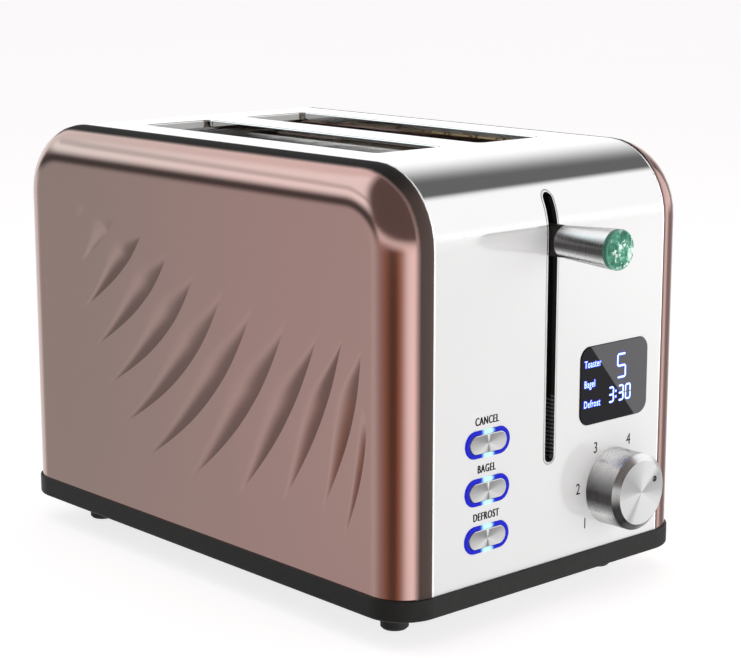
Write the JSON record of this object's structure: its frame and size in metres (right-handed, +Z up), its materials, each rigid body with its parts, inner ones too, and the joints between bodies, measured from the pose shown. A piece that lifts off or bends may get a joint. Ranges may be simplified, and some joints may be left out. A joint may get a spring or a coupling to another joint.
{
  "type": "pop up toaster",
  "caption": "Long-wall pop up toaster with a sprung bread carriage, browning knob, push buttons, lit display and a slide-out crumb tray.",
  "frame": {"origin": "bottom centre of the whole object, lever included, on the plane the feet stand on", "axes": "+Z up, +X across the width, +Y along the length from the control end to the back"},
  "size_m": [0.1722, 0.3056, 0.1912],
  "materials": {
    "polished_steel": "mirror polished stainless sheet",
    "copper_paint": "metallic copper-rose gloss",
    "black_plastic": "fine matt texture",
    "foot_rubber": "matt",
    "galvanised_sheet": "plain zinc sheet",
    "bright_wire": "drawn wire",
    "brushed_metal": "fine brushed",
    "turned_metal": "fine turned rings",
    "green_glass": "clouded green, polished",
    "display_glass": "polished dark lens",
    "display_module": "lit segments",
    "blue_light_guide": "lit from behind",
    "circuit_board": "solder mask",
    "electronic_parts": "moulded",
    "mica": "layered mica sheet",
    "resistance_ribbon": "oxidised ribbon",
    "magnet_iron": "plain iron",
    "copper_coil": "enamelled winding",
    "spring_steel": "bright wire"
  },
  "bodies": {
    "housing": {"steel_wrap": "polished_steel", "side_cover_left": "copper_paint", "side_cover_right": "copper_paint", "base_tray": "black_plastic", "cord_gland": "black_plastic", "chassis_floor": "galvanised_sheet", "front_plate": "galvanised_sheet", "rear_plate": "galvanised_sheet", "top_plate": "galvanised_sheet", "heat_shields": "galvanised_sheet", "lever_guide": "black_plastic", "guide_rod": "bright_wire", "top_bracket": "galvanised_sheet", "magnet_bracket": "galvanised_sheet", "magnet_core": "magnet_iron", "magnet_coil": "copper_coil", "display_lens": "display_glass", "display_frame": "black_plastic", "display_module": "display_module", "control_board": "circuit_board", "control_chips": "electronic_parts", "rotary_encoder": "electronic_parts", "button_frame": "black_plastic", "button_board": "circuit_board", "key_switches": "electronic_parts", "board_screws": "bright_wire", "power_board": "circuit_board", "power_components": "electronic_parts", "main_contacts": "electronic_parts", "foot_screws": "bright_wire", "cover_screws": "bright_wire", "chassis_screws": "bright_wire", "foot_front_left": "foot_rubber", "foot_front_right": "foot_rubber", "foot_rear_left": "foot_rubber", "foot_rear_right": "foot_rubber", "heater_boards": "mica", "heater_windings": "resistance_ribbon", "light_ring_cancel": "blue_light_guide", "light_ring_bagel": "blue_light_guide", "light_ring_defrost": "blue_light_guide"},
    "carriage": {"carriage": "galvanised_sheet", "keeper": "magnet_iron", "lever_arm": "black_plastic", "lever_sleeve": "brushed_metal", "lever_cap": "green_glass", "bread_rack_left": "bright_wire", "bread_rack_right": "bright_wire", "lift_spring": "spring_steel"},
    "crumb_tray": {"crumb_tray": "galvanised_sheet", "crumb_tray_handle": "black_plastic"},
    "browning_knob": {"browning_knob": "turned_metal", "knob_shaft": "bright_wire"},
    "button_cancel": {"button_cancel": "brushed_metal"},
    "button_bagel": {"button_bagel": "brushed_metal"},
    "button_defrost": {"button_defrost": "brushed_metal"},
    "bread_guard_left_outer": {"bread_guard_left_outer": "bright_wire"},
    "bread_guard_left_inner": {"bread_guard_left_inner": "bright_wire"},
    "bread_guard_right_outer": {"bread_guard_right_outer": "bright_wire"},
    "bread_guard_right_inner": {"bread_guard_right_inner": "bright_wire"}
  },
  "joints": [
    {"name": "carriage_slide", "type": "slide", "parent": "housing", "child": "carriage", "axis": [0, 0, 1], "range_m": [-0.085, 0.012], "stiffness_N_per_m": 140, "springref_m": 0.01134, "deforming": ["lift_spring"]},
    {"name": "crumb_tray_slide", "type": "slide", "parent": "housing", "child": "crumb_tray", "axis": [0, 1, 0], "range_m": [0, 0.21]},
    {"name": "browning_knob_turn", "type": "hinge", "parent": "housing", "child": "browning_knob", "pos_m": [0.038, -0.1168, 0.0473], "axis": [0, 1, 0], "range_deg": [-191, 72.5]},
    {"name": "cancel_press", "type": "slide", "parent": "housing", "child": "button_cancel", "axis": [0, 1, 0], "range_m": [0, 0.0015], "stiffness_N_per_m": 500, "springref_m": -0.001},
    {"name": "bagel_press", "type": "slide", "parent": "housing", "child": "button_bagel", "axis": [0, 1, 0], "range_m": [0, 0.0015], "stiffness_N_per_m": 500, "springref_m": -0.001},
    {"name": "defrost_press", "type": "slide", "parent": "housing", "child": "button_defrost", "axis": [0, 1, 0], "range_m": [0, 0.0015], "stiffness_N_per_m": 500, "springref_m": -0.001},
    {"name": "left_outer_guard_tilt", "type": "hinge", "parent": "housing", "child": "bread_guard_left_outer", "pos_m": [-0.0465, 0.016, 0.036], "axis": [0, 1, 0], "range_deg": [-0.5, 3.35]},
    {"name": "left_inner_guard_tilt", "type": "hinge", "parent": "housing", "child": "bread_guard_left_inner", "pos_m": [-0.0125, 0.016, 0.036], "axis": [0, 1, 0], "range_deg": [-3.35, 0.5]},
    {"name": "right_outer_guard_tilt", "type": "hinge", "parent": "housing", "child": "bread_guard_right_outer", "pos_m": [0.0465, 0.016, 0.036], "axis": [0, 1, 0], "range_deg": [-3.35, 0.5]},
    {"name": "right_inner_guard_tilt", "type": "hinge", "parent": "housing", "child": "bread_guard_right_inner", "pos_m": [0.0125, 0.016, 0.036], "axis": [0, 1, 0], "range_deg": [-0.5, 3.35]}
  ],
  "couplings": [
    {"joint": "left_outer_guard_tilt", "follows": "carriage_slide", "rad_per_m": -0.68},
    {"joint": "left_inner_guard_tilt", "follows": "carriage_slide", "rad_per_m": 0.68},
    {"joint": "right_outer_guard_tilt", "follows": "carriage_slide", "rad_per_m": 0.68},
    {"joint": "right_inner_guard_tilt", "follows": "carriage_slide", "rad_per_m": -0.68}
  ]
}
